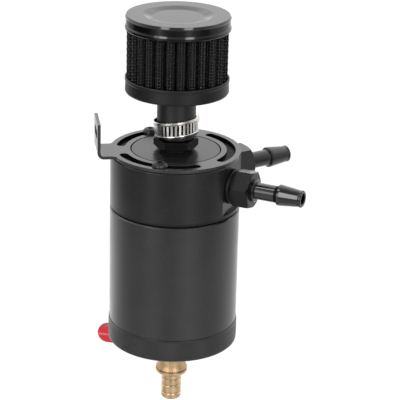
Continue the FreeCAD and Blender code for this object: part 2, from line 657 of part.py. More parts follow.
def make_valve_ball():
    """Ball with a through bore, closed at rest, and a slot for the stem's tongue."""
    ball = Part.makeSphere(BALL_R, ORIGIN)
    bore = Part.makeCylinder(BALL_BORE_R, 2 * BALL_R + 2, v(0, -BALL_R - 1, 0), v(0, 1, 0))
    half = STEM_SLOT_T / 2 + RUN
    slot = box(BALL_R - 1.4, BALL_R + 1, -BALL_R, BALL_R, -half, half)
    return turned(moved(ball.cut(bore).cut(slot), 0, 0, BALL_Z), STEM_DEG)


def make_valve_stem():
    """Stem with a tongue in the ball's slot and flats under the lever."""
    shoulder = CHAMBER_R + 0.1
    shank = rod(STEM_R, shoulder, STEM_END)
    tongue = box(-STEM_SLOT_T / 2, STEM_SLOT_T / 2, -STEM_R + 0.3, STEM_R - 0.3, BALL_R - 1.3, shoulder)
    flats = box(-STEM_R * 0.7, STEM_R * 0.7, -STEM_R - 1, STEM_R + 1, LEVER_START, STEM_END + 1)
    upper = rod(STEM_R, LEVER_START, LEVER_START + LEVER_T)
    shank = shank.cut(upper.cut(flats))
    return stem_axis(shank.fuse(tongue).removeSplitter())


def make_valve_gland():
    nut = chamfered_hexagon(GLAND_AF, BOSS_END, BOSS_END + GLAND_H, 15, GLAND_AF / 2 + 0.2, GLAND_AF / 2)
    return stem_axis(nut.cut(rod(STEM_R + RUN, BOSS_END - 1, BOSS_END + GLAND_H + 1)))


def make_lever_nut():
    z0 = LEVER_NUT_START
    nut = chamfered_hexagon(LEVER_NUT_AF, z0, z0 + LEVER_NUT_H, 0, LEVER_NUT_AF / 2 + 0.2, LEVER_NUT_AF / 2)
    return stem_axis(nut.cut(rod(STEM_R + PRESS, z0 - 1, z0 + LEVER_NUT_H + 1)))


def lever_strip(start, end, width, thick, middle):
    """Flat strip along the lever with a round tip, drawn across the stem axis."""
    radius = width / 2
    low = middle - thick / 2
    strip = box(-radius, radius, start, end - radius, low, low + thick)
    return strip.fuse(Part.makeCylinder(radius, thick, v(0, end - radius, low)))


def make_valve_lever():
    middle = LEVER_START + LEVER_T / 2
    strip = lever_strip(0, LEVER_L, LEVER_W, LEVER_T, middle)
    strip = strip.fuse(Part.makeCylinder(LEVER_W / 2, LEVER_T, v(0, 0, middle - LEVER_T / 2)))
    hole = rod(STEM_R + PRESS, LEVER_START - 1, LEVER_START + LEVER_T + 1)
    flats = box(-STEM_R * 0.7 - PRESS, STEM_R * 0.7 + PRESS, -STEM_R - 1, STEM_R + 1, LEVER_START - 1,
                LEVER_START + LEVER_T + 1)
    return stem_axis(strip.removeSplitter().cut(hole.common(flats)))


def make_lever_grip():
    middle = LEVER_START + LEVER_T / 2
    wall = (GRIP_W - LEVER_W) / 2
    sleeve = lever_strip(GRIP_START, LEVER_L + wall, GRIP_W, GRIP_T, middle).removeSplitter()
    edges = [e for e in sleeve.Edges if e.BoundBox.ZLength < 0.01 and e.BoundBox.YMin > GRIP_START - 0.01]
    sleeve = sleeve.makeFillet(1.2, edges)
    core = lever_strip(0, LEVER_L, LEVER_W, LEVER_T, middle)
    return stem_axis(sleeve.cut(core))


def make_valve_tail():
    """Spigot in the valve body, collar and grooved hose end."""
    top = BODY_END_Z
    foot = top - TAIL_COLLAR_H
    spigot_z = BALL_Z - SEAT_REACH
    neck_r = FLARE_R - 0.5
    groove_r = TAIL_R - TAIL_GROOVE
    profile = [(0, spigot_z), (CHAMBER_R - PRESS, spigot_z), (CHAMBER_R - PRESS, top), (neck_r, top),
               (neck_r, top - 0.35), (TAIL_COLLAR_R, top - 0.5), (TAIL_COLLAR_R, foot),
               (TAIL_COLLAR_R - 0.7, foot - 0.8), (TAIL_R + 0.3, foot - 1.2), (TAIL_R, foot - 1.6)]
    for drop in TAIL_GROOVES:
        z = top - drop
        profile += [(TAIL_R, z + 0.35), (groove_r, z + 0.15), (groove_r, z - 0.2), (TAIL_RIDGE_R, z - 0.7),
                    (TAIL_R, z - 1.5)]
    profile += [(TAIL_R, TAIL_END_Z + 0.7), (TAIL_R - 0.5, TAIL_END_Z), (0, TAIL_END_Z)]
    return lathe(profile).cut(rod(TAIL_BORE_R, TAIL_END_Z - 1, spigot_z + 1))


FRONT, BACK = PORT_DEG
pieces = {
    "bracket": make_bracket(),
    "bracket_screw_front": make_bracket_screw(SCREW_DEG[0]),
    "bracket_screw_back": make_bracket_screw(SCREW_DEG[1]),
    "head": make_head(),
    "head_gasket": make_head_gasket(),
    "head_oring": sealing_ring(CAN_BORE_R - RUN, HEAD_BASE_Z - HEAD_SPIGOT_H / 2),
    "baffle_plate": make_baffle_plate(),
    "front_washer": make_port_washer(FRONT),
    "back_washer": make_port_washer(BACK),
    "front_fitting": make_fitting(FRONT, HEX_TURN_DEG[0]),
    "back_fitting": make_fitting(BACK, HEX_TURN_DEG[1]),
    "filter_adapter": make_filter_adapter(),
    "adapter_seal": make_adapter_seal(),
    "filter_base": make_filter_base(),
    "filter_media": make_filter_media(),
    "filter_core": make_filter_core(),
    "filter_cap": make_filter_cap(),
    "clamp_band": make_clamp_band(),
    "clamp_housing": make_clamp_housing(),
    "clamp_screw": make_clamp_screw(),
    "canister": make_canister(),
    "bottom_cap": make_bottom_cap(),
    "cap_oring": sealing_ring(CAN_BORE_R - RUN, CAP_H + CAP_SPIGOT_H / 2),
    "valve_body": make_valve_body(),
    "valve_tail": make_valve_tail(),
    "valve_ball": make_valve_ball(),
    "valve_seat_top": make_valve_seat(1),
    "valve_seat_low": make_valve_seat(-1),
    "valve_stem": make_valve_stem(),
    "valve_gland": make_valve_gland(),
    "valve_lever": make_valve_lever(),
    "lever_grip": make_lever_grip(),
    "lever_nut": make_lever_nut(),
}

for name, shape in pieces.items():
    placed = moved(shape, -TAB_X, 0, -TAB_HOLE_Z)
    placed.exportStep("parts/" + name + ".step")
    print(name, shape.ShapeType, len(shape.Solids), shape.isValid(), round(shape.Volume, 1))
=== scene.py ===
import json
import math

import bpy
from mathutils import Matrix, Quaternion, Vector


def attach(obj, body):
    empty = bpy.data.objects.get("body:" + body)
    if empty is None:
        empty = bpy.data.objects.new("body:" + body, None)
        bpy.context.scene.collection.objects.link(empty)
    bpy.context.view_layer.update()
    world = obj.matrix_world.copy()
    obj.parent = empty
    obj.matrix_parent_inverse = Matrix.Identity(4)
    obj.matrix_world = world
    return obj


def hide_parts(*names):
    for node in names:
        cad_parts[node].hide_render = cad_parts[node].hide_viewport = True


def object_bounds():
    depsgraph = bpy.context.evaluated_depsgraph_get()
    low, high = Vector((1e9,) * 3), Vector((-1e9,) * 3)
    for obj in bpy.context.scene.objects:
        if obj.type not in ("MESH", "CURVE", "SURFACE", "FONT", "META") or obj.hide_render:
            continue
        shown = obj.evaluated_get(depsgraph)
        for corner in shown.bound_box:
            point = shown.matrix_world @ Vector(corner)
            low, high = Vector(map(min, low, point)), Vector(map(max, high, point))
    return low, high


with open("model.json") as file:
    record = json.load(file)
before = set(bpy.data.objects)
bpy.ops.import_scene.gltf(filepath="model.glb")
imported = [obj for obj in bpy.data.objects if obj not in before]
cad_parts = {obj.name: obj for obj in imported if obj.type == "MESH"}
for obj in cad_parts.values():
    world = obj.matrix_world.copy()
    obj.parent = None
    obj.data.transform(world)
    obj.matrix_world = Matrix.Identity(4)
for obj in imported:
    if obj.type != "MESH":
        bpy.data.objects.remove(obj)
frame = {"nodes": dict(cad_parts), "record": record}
CAD_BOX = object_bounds()
NODES = frame["nodes"]

# All lengths are in metres in the part's own frame: the can's axis stands at x = AXIS_X, y = 0.
MM = 0.001
AXIS_X = 39 * MM
AXIS = Vector((AXIS_X, 0, 0))
UP = Vector((0, 0, 1))


def polar(radius, deg, z=0.0):
    """Point at a radius and a compass direction about the can's axis."""
    a = math.radians(deg)
    return Vector((AXIS_X + radius * math.cos(a), radius * math.sin(a), z))


def level_line(deg):
    """Level direction by its compass angle."""
    a = math.radians(deg)
    return Vector((math.cos(a), math.sin(a), 0))


# heights of the bottom cap's foot, of the head's foot and of the step under the bracket's ring
CAN_FOOT_Z = -109.6 * MM
JOINT_Z = -38.3 * MM
STEP_Z = -11.0 * MM

# the walls of the slots and of the hole in the bracket's ring, and no others, lie within this radius
# and under this height; the bracket's finish paints shade on them
RING_WALLS_R = 31.3 * MM
RING_WALLS_Z = STEP_Z + 1.3 * MM

# side fittings and the drain's stem, as compass directions about the can's axis
FRONT_PORT_DEG = -32.8
BACK_PORT_DEG = 25.2
STEM_DEG = 69.5
PORT_POINT = Vector((AXIS_X, 0, -23.8 * MM))

# the lever's red grip: the middle of its round end, the radii round it between which painted shade
# darkens the red, and the fold across its face
GRIP_END = polar(37.6 * MM, STEM_DEG + 90, -119.8 * MM)
GRIP_SHADE_R = (4.3 * MM, 5.1 * MM)
GRIP_FOLD_Z = GRIP_END.z - 0.6 * MM
GRIP_FOLD_HALF = 0.8 * MM

# the front fitting, by distance out from the can's axis: the hexagon's outer face, the hose stem, the
# painted shade line at the foot of the ridge, and the cone with its slope; the last radius parts the
# outer walls from the bore
HEXAGON_S = 42.05 * MM
STEM_S = (43.7 * MM, 54.7 * MM)
RIDGE_FOOT_S = 54.5 * MM
RIDGE_FOOT_HALF = 0.8 * MM
CONE_S = (56.7 * MM, 65.5 * MM)
CONE_SLOPE = 0.113
FITTING_WALL_R = 3.8 * MM

# the hose clamp's band: its middle, its tilted axis, the least radius of its outer face, inside which
# the steel gets painted shade, the top of its lower bead, below which it gets painted shade too, and
# how far from its middle the rubber under it lies in the shade
BAND_POINT = Vector((AXIS_X - 0.1 * MM, 0, 1.95 * MM))
BAND_TILT = Vector((-0.11487, 0.09302, 0.98902))
BAND_FACE_R = 10.66 * MM
BAND_BEAD_S = -2.7 * MM
BAND_SHADE_HALF = 3.4 * MM

# the filter's base: a radius that its neck stays within under the band, about the band's axis, and the
# radii about the can's axis between which it grows duller
NECK_WITHIN_R = 10.0 * MM
BASE_DULL_R = (12.0 * MM, 14.0 * MM)

# the floor of the grooves on the drain's tail; the brass inside it gets painted shade
TAIL_FLOOR_R = 4.7 * MM

# camera: the point it looks at, the way it looks, its distance and its roll; sensor and lens are in
# millimetres
LOOK_AT = Vector((51.32, -1.84, -36.19)) * MM
LOOK_ALONG = Vector((0.13788, 0.92255, -0.36040)).normalized()
CAMERA_DISTANCE = 814.99 * MM
CAMERA_ROLL_DEG = 1.473
SENSOR_MM = 36.0
LENS_MM = 148.567


# ---------------------------------------------------------------- material nodes


class Shader:
    """A node material with short calls for the nodes that the finishes share."""

    def __init__(self, name):
        self.material = bpy.data.materials.new(name)
        self.material.use_nodes = True
        self.tree = self.material.node_tree
        self.shader = self.tree.nodes["Principled BSDF"]

    def node(self, kind, **settings):
        made = self.tree.nodes.new(kind)
        for key, value in settings.items():
            setattr(made, key, value)
        return made

    def link(self, source, target):
        self.tree.links.new(source, target)

    def give(self, socket, value):
        """Link a source to a socket, or set a plain value on it."""
        if isinstance(value, (int, float, tuple, Vector)):
            socket.default_value = value
        else:
            self.link(value, socket)

    def set(self, **values):
        """Values or sources for the shader's own inputs."""
        for key, value in values.items():
            self.give(self.shader.inputs[key.replace("_", " ")], value)

    def maths(self, operation, a, b=None):
        made = self.node("ShaderNodeMath", operation=operation)
        self.give(made.inputs[0], a)
        if b is not None:
            self.give(made.inputs[1], b)
        return made.outputs[0]

    def vector(self, operation, a, b=None):
        made = self.node("ShaderNodeVectorMath", operation=operation)
        self.give(made.inputs[0], a)
        if b is not None:
            self.give(made.inputs["Scale" if operation == "SCALE" else 1], b)
        return made.outputs["Value" if operation in ("LENGTH", "DOT_PRODUCT") else 0]

    def mix(self, kind, factor, first, second):
        """Mix of two colours (RGBA), vectors (VECTOR) or numbers (FLOAT)."""
        made = self.node("ShaderNodeMix", data_type=kind)
        socket_type = "VALUE" if kind == "FLOAT" else kind
        self.link(factor, made.inputs["Factor"])
        for key, value in (("A", first), ("B", second)):
            socket = [s for s in made.inputs if s.name == key and s.type == socket_type][0]
            self.give(socket, (*value, 1.0) if isinstance(value, tuple) else value)
        return [s for s in made.outputs if s.type == socket_type][0]

    def parts(self, vector):
        """X, Y and Z of a vector."""
        made = self.node("ShaderNodeSeparateXYZ")
        self.link(vector, made.inputs[0])
        return made.outputs

    def place(self):
        """Where the shaded point lies in its object's own frame."""
        return self.node("ShaderNodeTexCoord").outputs["Object"]

    def split(self, point, axis):
        """Distance along an axis, and the offset straight out from it."""
        offset = self.vector("SUBTRACT", self.place(), point)
        along = self.vector("DOT_PRODUCT", offset, axis)
        return along, self.vector("SUBTRACT", offset, self.vector("SCALE", axis, along))

    def around(self, point, axis):
        """Distance from an axis (X) and distance along it (Y), the coordinates of turned marks."""
        along, out = self.split(point, axis)
        joined = self.node("ShaderNodeCombineXYZ")
        self.link(self.vector("LENGTH", out), joined.inputs["X"])
        self.link(along, joined.inputs["Y"])
        return joined.outputs[0]

    def spoke(self, point, axis, slope):
        """World normal of a turned wall round an axis that narrows by slope per unit along it."""
        out = self.vector("NORMALIZE", self.split(point, axis)[1])
        tipped = self.vector("NORMALIZE", self.vector("ADD", out, axis * slope))
        made = self.node("ShaderNodeVectorTransform", vector_type="NORMAL", convert_from="OBJECT",
                         convert_to="WORLD")
        self.link(tipped, made.inputs[0])
        return made.outputs[0]

    def noise(self, scale, where=None, detail=3.0):
        made = self.node("ShaderNodeTexNoise")
        made.inputs["Scale"].default_value = scale
        made.inputs["Detail"].default_value = detail
        made.inputs["Roughness"].default_value = 0.55
        self.link(where or self.place(), made.inputs["Vector"])
        return made.outputs["Fac"]

    def span(self, value, low, high, out_low, out_high):
        """Carry one range of numbers over to another, held at its ends."""
        made = self.node("ShaderNodeMapRange")
        ends = {"From Min": low, "From Max": high, "To Min": out_low, "To Max": out_high}
        for key, number in ends.items():
            made.inputs[key].default_value = number
        self.link(value, made.inputs["Value"])
        return made.outputs["Result"]

    def within(self, value, middle, half, soft, inside, outside):
        """One number where the value lies near a middle, another number past it."""
        off = self.maths("ABSOLUTE", self.maths("SUBTRACT", value, middle))
        return self.span(off, half, half + soft, inside, outside)

    def patches(self, noise, colour, spread):
        """A colour that goes a share darker and lighter with the noise."""
        dark = tuple(c * (1 - spread) for c in colour)
        light = tuple(c * (1 + spread) for c in colour)
        return self.mix("RGBA", self.span(noise, 0.35, 0.65, 0, 1), dark, light)

    def streaks(self, noise, rough, low, high):
        """A roughness that goes from a low to a high share of itself with the noise."""
        return self.span(noise, 0.3, 0.7, rough * low, rough * high)

    def paint_shade(self, clear, share):
        """Painted shade: bring the colour down to a share of itself where clear is nought."""
        colour = self.shader.inputs["Base Color"].links[0].from_socket
        self.set(Base_Color=self.vector("SCALE", colour, self.span(clear, 0, 1, share, 1)))

    def rounded(self, radius):
        """Normals that turn softly over an edge."""
        made = self.node("ShaderNodeBevel", samples=4)
        made.inputs["Radius"].default_value = radius
        return made.outputs["Normal"]

    def bump(self, height, distance, under):
        """Normals with a relief laid over the normals under it."""
        made = self.node("ShaderNodeBump")
        made.inputs["Distance"].default_value = distance
        made.inputs["Strength"].default_value = 1.0
        self.link(height, made.inputs["Height"])
        self.link(under, made.inputs["Normal"])
        return made.outputs["Normal"]


# ---------------------------------------------------------------- finishes


def dimmed(colour, share):
    return tuple(c * share for c in colour)


def cloudy(name, colour, rough, spread=0.12, cloud=90.0, **settings):
    """Common base: a colour and a gloss that wander a little over the surface."""
    m = Shader(name)
    m.set(**settings)
    clouds = m.noise(cloud, detail=4.0)
    m.set(Base_Color=m.patches(clouds, colour, spread), Roughness=m.streaks(clouds, rough, 0.88, 1.12))
    return m


def lathe_normal(m, rings, marks=9000.0):
    """Fine rings from the lathe under a blasted grain."""
    normal = m.bump(m.noise(marks, rings, detail=2.0), 0.0012 * MM, m.rounded(0.18 * MM))
    return m.bump(m.noise(5200.0, detail=2.0), 0.0022 * MM, normal)


def turned_black(name, colour, rough, point=AXIS, axis=UP, marks=9000.0, **settings):
    """Black anodised metal turned on a lathe."""
    m = cloudy(name, colour, rough, **settings)
    m.set(Normal=lathe_normal(m, m.around(point, axis), marks))
    return m.material


def fitting_black(name, colour, rough, deg):
    """Glossy turned black, rougher on the milled hexagon, whose facets shine by which way they face:
    a painted highlight on the top facet and painted shade on the others, with a painted shade line at
    the foot of the ridge."""
    m = cloudy(name, colour, rough)
    line = level_line(deg)
    rings = m.around(PORT_POINT, line)
    away, along = m.parts(rings)["X"], m.parts(rings)["Y"]
    past = HEXAGON_S + 0.2 * MM
    hexagon = m.span(along, HEXAGON_S, past, 1, 0)
    up = m.parts(m.node("ShaderNodeNewGeometry").outputs["Normal"])["Z"]
    # painted highlight and shade by which way the hexagon's facets face: the top facet shines more, the
    # others less
    facet = m.maths("MULTIPLY", hexagon, m.span(up, 0.9, 0.95, -0.68, 2.6))
    # painted shade line at the foot of the ridge: almost no shine
    shine = m.within(along, RIDGE_FOOT_S, RIDGE_FOOT_HALF, 0.3 * MM, 0.04, 0.62)
    m.set(Roughness=m.span(along, HEXAGON_S, past, 0.24, rough),
          Specular_IOR_Level=m.maths("MULTIPLY", shine, m.maths("ADD", facet, 1.0)))
    normal = m.rounded(0.25 * MM)
    for (start, end), slope in ((STEM_S, 0.0), (CONE_S, CONE_SLOPE)):
        wall = m.within(along, (start + end) / 2, (end - start) / 2, 0.1 * MM, 1, 0)
        wall = m.maths("MULTIPLY", wall, m.maths("GREATER_THAN", away, FITTING_WALL_R))
        normal = m.mix("VECTOR", wall, normal, m.spoke(PORT_POINT, line, slope))
    normal = m.bump(m.noise(6000.0, rings, detail=1.0), 0.0004 * MM, normal)
    m.set(Normal=m.bump(m.noise(3000.0, detail=1.0), 0.0004 * MM, normal))
    return m.material


def head_black(name, colour, rough, specular):
    """Turned black. The step under the bracket, seen only through its slots, has painted shade,
    darker and matt, and a painted shade line, duller, runs round just above the foot."""
    m = cloudy(name, colour, rough)
    rings = m.around(AXIS, UP)
    height = m.parts(rings)["Y"]
    # painted shade on the step under the bracket: darker colour and almost no shine
    clear = m.within(height, STEP_Z, 0.1 * MM, 0.1 * MM, 0, 1)
    # painted shade line just above the foot: less shine
    line = m.within(height, JOINT_Z + 1.0 * MM, 0.45 * MM, 0.1 * MM, 0.6, 1)
    m.set(Specular_IOR_Level=m.maths("MULTIPLY", m.span(clear, 0, 1, 0.02, specular), line),
          Normal=lathe_normal(m, rings))
    m.paint_shade(clear, 0.4)
    return m.material


def bracket_paint(name, colour, rough):
    """Powder coat: a slight orange peel and soft edges, with painted shade on the walls within the ring.
    """
    m = cloudy(name, colour, rough, spread=0.08)
    rings = m.parts(m.around(AXIS, UP))
    # painted shade on the walls within the ring: darker colour and almost no shine
    inside = m.maths("LESS_THAN", rings["X"], RING_WALLS_R)
    below = m.maths("LESS_THAN", rings["Y"], RING_WALLS_Z)
    shaded = m.maths("MULTIPLY", inside, below)
    m.set(Specular_IOR_Level=m.span(shaded, 0, 1, 0.62, 0.04),
          Normal=m.bump(m.noise(1500.0, detail=2.0), 0.012 * MM, m.rounded(0.22 * MM)))
    m.paint_shade(m.maths("SUBTRACT", 1.0, shaded), 0.2)
    return m.material


def rubber(name, colour, rough, **settings):
    """Moulded rubber: faint flow lines and a fine grain."""
    m = cloudy(name, colour, rough, spread=0.2, cloud=60.0, **settings)
    m.set(Normal=m.bump(m.noise(2600.0), 0.005 * MM, m.rounded(0.3 * MM)))
    return m


def sleeve_rubber(name, colour, rough):
    """Moulded rubber, matt in the shade under the clamp, where it shows through the slots, and duller
    everywhere past the neck."""
    m = rubber(name, colour, rough)
    rings = m.parts(m.around(BAND_POINT, BAND_TILT))
    covered = m.within(rings["Y"], 0, BAND_SHADE_HALF, 0.2 * MM, 0.0, 0.5)
    outside = m.span(rings["X"], NECK_WITHIN_R, NECK_WITHIN_R + 0.1 * MM, 0.0, 0.5)
    past_neck = m.span(m.parts(m.around(AXIS, UP))["X"], *BASE_DULL_R, 1.0, 0.62)
    m.set(Specular_IOR_Level=m.maths("MULTIPLY", m.maths("MAXIMUM", covered, outside), past_neck))
    return m.material


def grip_vinyl(name, colour, rough):
    """Dipped vinyl, bright red within the round end and with painted shade past it, with the fold that
    the dipping leaves across the face."""
    m = Shader(name)
    away = m.parts(m.around(GRIP_END, level_line(STEM_DEG)))["X"]
    # painted shade: past the round end the red goes down to a third of itself
    dark = m.span(away, *GRIP_SHADE_R, 0, 1)
    clouds = m.patches(m.noise(120.0), colour, 0.08)
    fold = m.within(m.parts(m.place())["Z"], GRIP_FOLD_Z, 0, GRIP_FOLD_HALF, 1, 0)
    normal = m.bump(fold, 0.3 * MM, m.rounded(0.5 * MM))
    m.set(Base_Color=m.mix("RGBA", dark, clouds, dimmed(colour, 0.32)), Roughness=rough,
          Normal=m.bump(m.noise(700.0, detail=1.0), 0.006 * MM, normal))
    return m.material


def gloss_paint(name, colour, rough, edge):
    """Smooth paint or plastic with soft edges."""
    m = cloudy(name, colour, rough, spread=0.1, cloud=40.0)
    m.set(Normal=m.bump(m.noise(700.0, detail=1.0), 0.003 * MM, m.rounded(edge)))
    return m.material


def bare_metal(name, colour, rough, spread=0.1):
    """Bright metal with fine marks round the can's axis."""
    m = Shader(name)
    lines = m.noise(7000.0, m.around(AXIS, UP), detail=2.0)
    m.set(Metallic=1.0, Base_Color=m.patches(m.noise(220.0, detail=4.0), colour, spread),
          Roughness=m.streaks(lines, rough, 0.75, 1.3),
          Normal=m.bump(lines, 0.0025 * MM, m.rounded(0.12 * MM)))
    return m.material


def grooved_brass(name, colour, rough, floor_r):
    """Turned brass, with painted shade in its grooves, on its end and in its bore."""
    m = Shader(name)
    rings = m.around(AXIS, UP)
    lines = m.noise(7000.0, rings, detail=2.0)
    brass = m.patches(m.noise(300.0, detail=4.0), colour, 0.14)
    # painted shade: inside the grooves' floor the brass goes down to 0.7 of itself
    outside = m.span(m.parts(rings)["X"], floor_r + 0.1 * MM, floor_r + 0.25 * MM, 0, 1)
    m.set(Metallic=1.0, Base_Color=m.mix("RGBA", outside, dimmed(colour, 0.7), brass),
          Roughness=m.streaks(lines, rough, 0.8, 1.2),
          Normal=m.bump(lines, 0.003 * MM, m.rounded(0.12 * MM)))
    return m.material


def strip_steel(name, colour, rough, point, axis, face_r, bead_s):
    """Bright rolled strip round an axis, with painted shade within its face, in its slots and on its
    back, and below the top of its lower bead; the worm's housing and screw take the same painted shade
    at that height."""
    m = Shader(name)
    rings = m.around(point, axis)
    lines = m.noise(7000.0, rings, detail=2.0)
    away, along = m.parts(rings)["X"], m.parts(rings)["Y"]
    # painted shade inside the outer face, in the slots and on the back
    outer = m.span(away, face_r - 0.12 * MM, face_r - 0.02 * MM, 0, 1)
    # painted shade below the top of the lower bead
    above = m.span(along, bead_s - 0.3 * MM, bead_s, 0, 1)
    steel = m.patches(m.noise(220.0, detail=4.0), colour, 0.1)
    steel = m.mix("RGBA", above, dimmed(colour, 0.1), steel)
    streaks = m.streaks(lines, rough, 0.75, 1.3)
    m.set(Metallic=1.0, Base_Color=m.mix("RGBA", outer, (0.05, 0.048, 0.046), steel),
          Roughness=m.maths("MULTIPLY", streaks, m.span(above, 0, 1, 0.65, 1)),
          Normal=m.bump(lines, 0.0025 * MM, m.rounded(0.1 * MM)))
    return m.material


# by material slot, and by node where a piece has a finish of its own
finishes = {
    "black_steel": bracket_paint("bracket_paint", (0.018, 0.018, 0.0186), 0.24),
    "black_screw": turned_black("screw_oxide", (0.008, 0.008, 0.0085), 0.4, marks=4000.0,
                                Specular_IOR_Level=0.35),
    "black_anodised": head_black("head_anodised", (0.010, 0.010, 0.0105), 0.25, 0.33),
    "black_canister": turned_black("canister_anodised", (0.014, 0.014, 0.0145), 0.24),
    "black_knurl": turned_black("cap_anodised", (0.009, 0.009, 0.0094), 0.3, Specular_IOR_Level=0.46),
    "black_adapter": turned_black("adapter_black", (0.002, 0.002, 0.002), 0.36, Specular_IOR_Level=0.25),
    "black_rubber": rubber("seal_rubber", (0.008, 0.008, 0.008), 0.55).material,
    "filter_rubber": sleeve_rubber("filter_rubber", (0.004, 0.004, 0.0043), 0.42),
    "filter_paint": gloss_paint("filter_paint", (0.0015, 0.0015, 0.0016), 0.13, 0.2 * MM),
    "plain_aluminium": bare_metal("plate_aluminium", (0.75, 0.75, 0.76), 0.3),
    "plain_steel": bare_metal("core_steel", (0.55, 0.55, 0.56), 0.35),
    "clamp_steel": strip_steel("clamp_steel", (0.82, 0.79, 0.76), 0.27, BAND_POINT, BAND_TILT,
                               BAND_FACE_R, BAND_BEAD_S),
    "brass": bare_metal("brass", (0.52, 0.362, 0.205), 0.46, spread=0.14),
    "ball_chrome": bare_metal("ball_chrome", (0.8, 0.8, 0.8), 0.08),
    "white_seat": gloss_paint("seat_plastic", (0.8, 0.8, 0.78), 0.4, 0.25 * MM),
    "lever_steel": bare_metal("lever_plating", (0.6, 0.6, 0.62), 0.28),
    "red_vinyl": grip_vinyl("grip_vinyl", (0.64, 0.018, 0.032), 0.22),
    "filter_mesh": rubber("pleat_cotton", (0.003, 0.003, 0.003), 0.9, Specular_IOR_Level=0.1).material,
}
washer = turned_black("fitting_washer", (0.004, 0.004, 0.0043), 0.45, Specular_IOR_Level=0.2)
own_finish = {
    "front_fitting": fitting_black("front_fitting", (0.004, 0.004, 0.0043), 0.11, FRONT_PORT_DEG),
    "back_fitting": turned_black("back_fitting", (0.012, 0.012, 0.013), 0.24, PORT_POINT,
                                 level_line(BACK_PORT_DEG)),
    "front_washer": washer,
    "back_washer": washer,
    "valve_tail": grooved_brass("tail_brass", (0.57, 0.40, 0.23), 0.3, TAIL_FLOOR_R),
    "head_gasket": rubber("gasket_rubber", (0.002, 0.002, 0.002), 0.6, Specular_IOR_Level=0.08).material,
}

SLOT_OF = {s["node"]: s["material_slot"] for s in frame["record"]["subparts"]}
for name, node in NODES.items():
    node.data.materials.clear()
    node.data.materials.append(own_finish.get(name) or finishes[SLOT_OF[name]])


# ---------------------------------------------------------------- pieces


def new_piece(name, points, faces, material, body, replaced=(), smooth=True):
    """Mesh that rides on a body and the nodes that it stands in for."""
    mesh = bpy.data.meshes.new(name)
    mesh.from_pydata([tuple(p) for p in points], [], faces)
    mesh.materials.append(material)
    for face in mesh.polygons:
        face.use_smooth = smooth
    piece = bpy.data.objects.new(name, mesh)
    bpy.context.scene.collection.objects.link(piece)
    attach(piece, body)
    if replaced:
        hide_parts(*replaced)


# knurl: pyramids round the bottom cap, between two heights above its foot
KNURL_COLUMNS = 352
KNURL_ROWS = 18
KNURL_LOW_Z = CAN_FOOT_Z + 0.9 * MM
KNURL_HIGH_Z = CAN_FOOT_Z + 10.3 * MM
KNURL_VALLEY_R = 32.31 * MM
KNURL_PEAK_R = 32.45 * MM


def knurl():
    """Rows of small pyramids round the bottom cap, cut by two crossing spirals."""
    points = []
    faces = []
    for j in range(KNURL_ROWS + 1):
        z = KNURL_LOW_Z + (KNURL_HIGH_Z - KNURL_LOW_Z) * j / KNURL_ROWS
        for i in range(KNURL_COLUMNS):
            raised = (i + j) % 2 == 1 and 0 < j < KNURL_ROWS
            points.append(polar(KNURL_PEAK_R if raised else KNURL_VALLEY_R, 360 * i / KNURL_COLUMNS, z))
    for j in range(KNURL_ROWS):
        for i in range(KNURL_COLUMNS):
            a = j * KNURL_COLUMNS + i
            b = j * KNURL_COLUMNS + (i + 1) % KNURL_COLUMNS
            c, d = b + KNURL_COLUMNS, a + KNURL_COLUMNS
            if (i + j) % 2 == 0:
                faces += [(a, b, c), (a, c, d)]
            else:
                faces += [(a, b, d), (b, c, d)]
    new_piece("cap_knurl", points, faces, finishes["black_knurl"], "bottom_cap",
              smooth=False)


# pleated filter wall
PLEATS = 27
PLEAT_TURN_DEG = -93.2
PLEAT_RIDGE = 0.36
CREST_R = 24.5 * MM
PLEAT_DEPTH = 5.0 * MM
MEDIA_INNER_R = 17.22 * MM
MEDIA_LOW = 23.4 * MM
MEDIA_HIGH = 52.0 * MM
CLOTH_INSET = 0.45 * MM

# steps to a pleat, in the cloth and in the path that the wires follow
CLOTH_STEPS = 16
PATH_STEPS = 60

# wire gauze: between wires, half a wire, how far the crossing wires bend, and the rows' margin from
# the foot and the top of the wall
GAUZE_PITCH = 1.5 * MM
GAUZE_HALF = 0.2 * MM
GAUZE_WEAVE = 0.12 * MM
GAUZE_MARGIN = 0.3 * MM


def pleat_point(turn, inset):
    """Point on the pleats' outline, turn counted in pleats, inset below the wire's face."""
    along = abs(turn - round(turn))
    depth = 1.0 if along >= PLEAT_RIDGE else 1 - (1 - (along / PLEAT_RIDGE) ** 2.5) ** 0.625
    # every pleat leans and stands out a little differently
    number = round(turn) % PLEATS
    lean = 0.035 * math.sin(2.4 * number) + 0.02 * math.sin(5.1 * number + 1)
    radius = CREST_R - inset - PLEAT_DEPTH * depth * (0.97 + 0.03 * math.sin(3.7 * number))
    deg = PLEAT_TURN_DEG + 360 / PLEATS * (turn + lean * (1 - depth))
    return radius, deg


def media_cloth():
    """The pleated cotton behind the wire."""
    count = PLEATS * CLOTH_STEPS
    points = []
    faces = []
    for z in (MEDIA_LOW, MEDIA_HIGH):
        for i in range(count):
            radius, deg = pleat_point(i / CLOTH_STEPS, CLOTH_INSET)
            points.append(polar(radius, deg, z))
    inner = len(points)
    for z in (MEDIA_LOW, MEDIA_HIGH):
        for i in range(count):
            points.append(polar(MEDIA_INNER_R, PLEAT_TURN_DEG + 360 * i / count, z))
    for i in range(count):
        j = (i + 1) % count
        faces.append((i, j, count + j, count + i))
        faces.append((inner + j, inner + i, inner + count + i, inner + count + j))
        faces.append((j, i, inner + i, inner + j))
        faces.append((count + i, count + j, inner + count + j, inner + count + i))
    new_piece("media_cloth", points, faces, finishes["filter_mesh"], "head",
              ("filter_media",))


